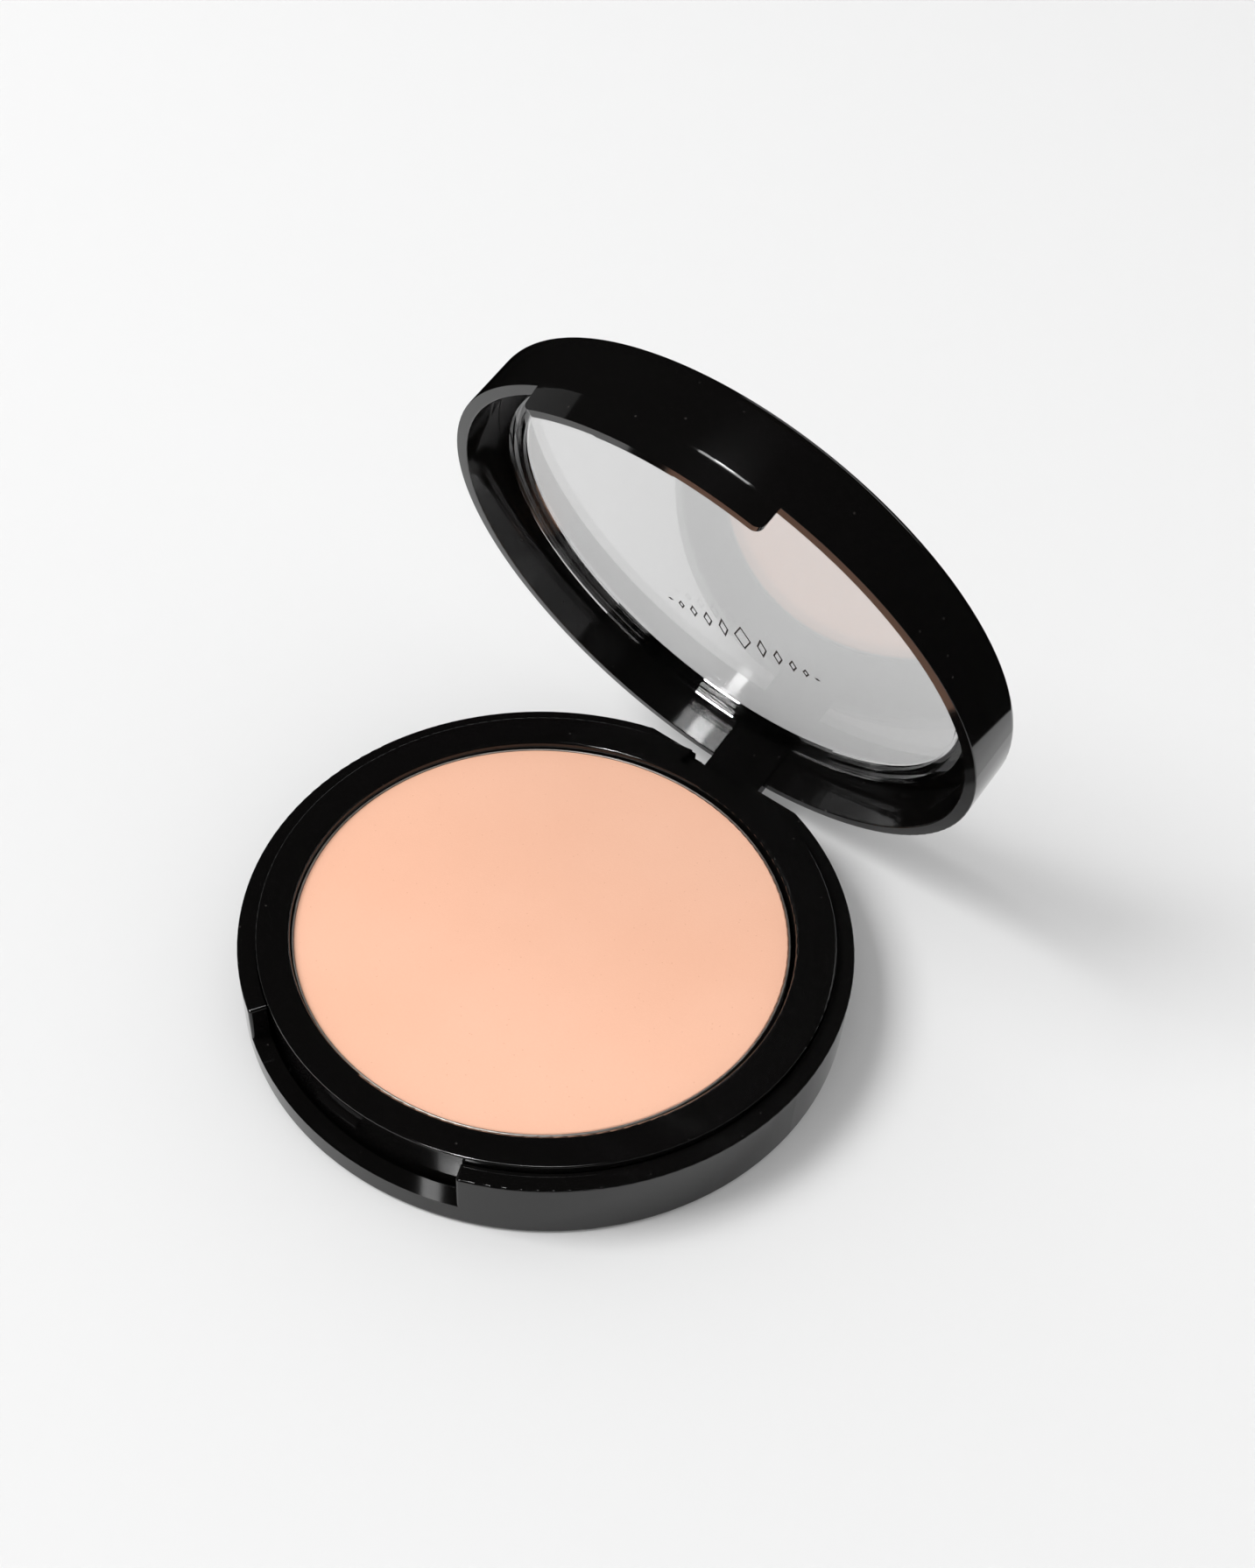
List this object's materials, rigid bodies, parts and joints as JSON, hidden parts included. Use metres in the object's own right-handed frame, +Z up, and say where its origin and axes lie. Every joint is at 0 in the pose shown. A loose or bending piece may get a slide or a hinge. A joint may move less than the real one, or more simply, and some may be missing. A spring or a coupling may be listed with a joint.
{
  "type": "powder compact",
  "caption": "Round black pressed-powder compact with a hinged lid that has a clear window, standing open on a pan of peach powder.",
  "frame": {"origin": "centre of the base's flat underside, on the surface it rests on", "axes": "+Z up out of the base, the hinge axis along X at the rear (+Y), the thumb recess facing -Y; the rest pose has the lid standing 68.7 degrees open"},
  "size_m": [0.0732, 0.0828, 0.0748],
  "materials": {
    "black_gloss": "gloss black moulded plastic",
    "clear_plastic": "clear moulded plastic",
    "pan_metal": "bright pressed sheet",
    "powder": null,
    "adhesive": "matte double-sided pad",
    "label": "satin blank paper label",
    "pin_steel": "drawn wire"
  },
  "bodies": {
    "base": {"base_shell": "black_gloss", "base_insert": "black_gloss", "powder_pan": "pan_metal", "powder_cake": "powder", "pan_adhesive": "adhesive", "base_label": "label", "hinge_pin": "pin_steel"},
    "lid": {"lid_shell": "black_gloss", "lid_window": "clear_plastic", "lid_retaining_ring": "black_gloss"}
  },
  "joints": [
    {"name": "lid_hinge", "type": "hinge", "parent": "base", "child": "lid", "pos_m": [0, 0.03465, 0.00435], "axis": [-1, 0, 0], "range_deg": [-68.7, 29.3]}
  ]
}
